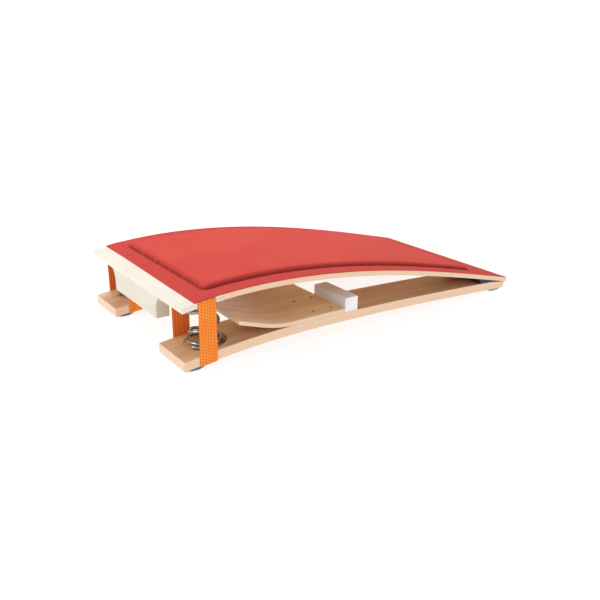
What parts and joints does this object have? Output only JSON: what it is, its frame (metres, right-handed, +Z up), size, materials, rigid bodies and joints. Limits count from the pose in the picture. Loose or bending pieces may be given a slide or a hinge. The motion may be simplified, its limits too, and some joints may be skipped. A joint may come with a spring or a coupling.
{
  "type": "gymnastics springboard",
  "caption": "Sprung vaulting board: an arched ply deck with a padded cover, on two arched runners, with coil springs, a leaf spring, webbing straps and rubber floor pads.",
  "frame": {"origin": "on the floor, under the middle of the board: the bottom centre of its box", "axes": "+X runs along the board from the high take-off end (-X) to the low run-up end (+X), +Y runs across it from left to right, +Z is up"},
  "size_m": [1.2, 0.6056, 0.2007],
  "materials": {
    "beech_ply": "satin lacquer",
    "cream_plate": "smooth cream coating",
    "red_fabric": "woven matt",
    "pad_foam": "closed-cell foam",
    "orange_webbing": "woven webbing",
    "chrome_wire": "polished",
    "zinc_steel": "zinc plated",
    "white_foam": "matt",
    "black_rubber": "matt",
    "grey_rubber": "matt"
  },
  "bodies": {
    "base": {"runner_left": "beech_ply", "runner_right": "beech_ply", "leaf_spring": "beech_ply", "leaf_screws": "zinc_steel", "bump_block_left": "white_foam", "bump_block_right": "white_foam", "block_screws": "zinc_steel", "foot_pad_left": "grey_rubber", "foot_pad_right": "grey_rubber", "heel_pad_left": "grey_rubber", "heel_pad_right": "grey_rubber", "coil_spring_left": "chrome_wire", "coil_spring_right": "chrome_wire", "wedge_left": "black_rubber", "wedge_right": "black_rubber", "strap_left": "orange_webbing", "strap_right": "orange_webbing"},
    "deck": {"deck_board": "beech_ply", "end_plate": "cream_plate", "nose_block": "cream_plate", "foam_pad": "pad_foam", "cover": "red_fabric", "hinge_bolts": "zinc_steel", "hinge_washers": "zinc_steel", "hinge_nuts": "zinc_steel"}
  },
  "joints": [
    {"name": "deck_press", "type": "hinge", "parent": "base", "child": "deck", "pos_m": [0.493, 0, 0.041], "axis": [0, -1, 0], "range_deg": [0, 3.8], "stiffness_Nm_per_rad": 36000, "springref_deg": -0.23, "deforming": ["coil_spring_left", "coil_spring_right", "wedge_left", "wedge_right", "strap_left", "strap_right"]}
  ]
}
